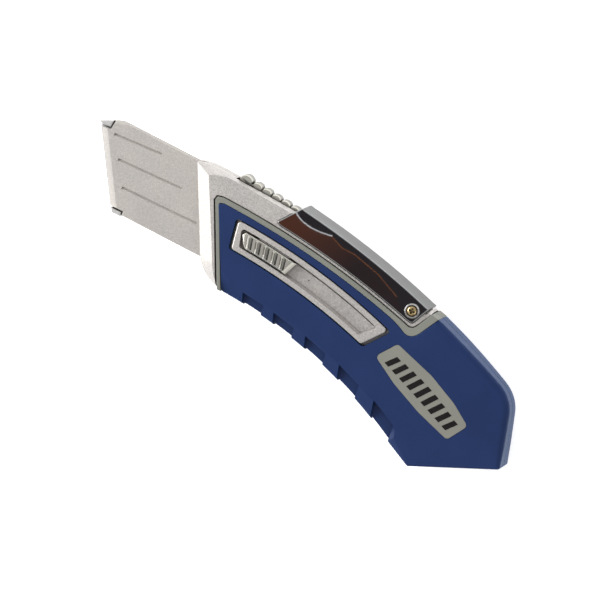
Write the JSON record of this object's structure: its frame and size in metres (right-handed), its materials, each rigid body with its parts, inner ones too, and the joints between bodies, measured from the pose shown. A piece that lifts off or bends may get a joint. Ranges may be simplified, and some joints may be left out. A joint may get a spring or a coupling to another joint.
{
  "type": "utility knife",
  "caption": "Curved utility knife with a two-part handle, rubber grips, a ribbed thumb slider in a curved track, a sliding blade holder, a chrome back cover and a ribbed release lever",
  "frame": {"origin": "on the underside (the flat face of the far grip), below the middle of the slider track", "axes": "+X from the blade to the tail of the handle, +Y from the belly to the back, +Z through the thickness towards the slider side; the knife lies on its far side"},
  "size_m": [0.1556, 0.0552, 0.0183],
  "materials": {
    "silver_paint": "sparkling silver paint on die-cast zinc",
    "holder_paint": "fine-grained warm silver paint",
    "blue_rubber": "satin navy overmoulded rubber",
    "grey_rubber": "matt grey overmoulded rubber",
    "badge_inlay": "matt grey inlay with a plain dark pattern",
    "mirror_chrome": "polished mirror chrome",
    "satin_chrome": "bright chrome plating",
    "steel": "plain machined steel",
    "blade_steel": "ground blade steel",
    "screw_brass": "gold-toned plated screw head"
  },
  "bodies": {
    "handle": {"housing_near": "silver_paint", "housing_far": "silver_paint", "slider_track": "silver_paint", "grip_near": "blue_rubber", "grip_far": "blue_rubber", "border_near": "grey_rubber", "border_far": "grey_rubber", "badge_near": "badge_inlay", "badge_far": "badge_inlay", "back_cover": "mirror_chrome", "cover_screw": "screw_brass", "cover_ring": "steel", "barrel_nut": "steel", "housing_screw_1": "steel", "housing_screw_2": "steel", "housing_screw_3": "steel", "lever_spring": "steel"},
    "slider": {"slider_carriage": "steel", "button_spring": "steel"},
    "button": {"slider_button": "satin_chrome"},
    "holder": {"holder_near": "holder_paint", "holder_far": "holder_paint", "blade": "blade_steel", "corner_lug_upper": "steel", "corner_lug_lower": "steel", "holder_rivet_1": "steel", "holder_rivet_2": "steel"},
    "lever": {"release_lever": "satin_chrome"}
  },
  "joints": [
    {"name": "slider_arc", "type": "hinge", "parent": "handle", "child": "slider", "pos_m": [-0.0295, -0.1935, 0.0085], "axis": [0, 0, -1], "range_deg": [0, 8.3]},
    {"name": "holder_arc", "type": "hinge", "parent": "handle", "child": "holder", "pos_m": [-0.0545, -0.3054, 0.0085], "axis": [0, 0, -1], "range_deg": [0, 5.31]},
    {"name": "button_press", "type": "slide", "parent": "slider", "child": "button", "axis": [0, 0, -1], "range_m": [0, 0.0006], "stiffness_N_per_m": 400, "deforming": ["button_spring"]},
    {"name": "lever_press", "type": "hinge", "parent": "handle", "child": "lever", "pos_m": [0.0339, 0.01115, 0.0085], "axis": [0, 0, 1], "range_deg": [0, 0.7], "stiffness_Nm_per_rad": 12, "deforming": ["lever_spring"]}
  ],
  "couplings": [
    {"joint": "holder_arc", "follows": "slider_arc", "ratio": 0.6395}
  ]
}
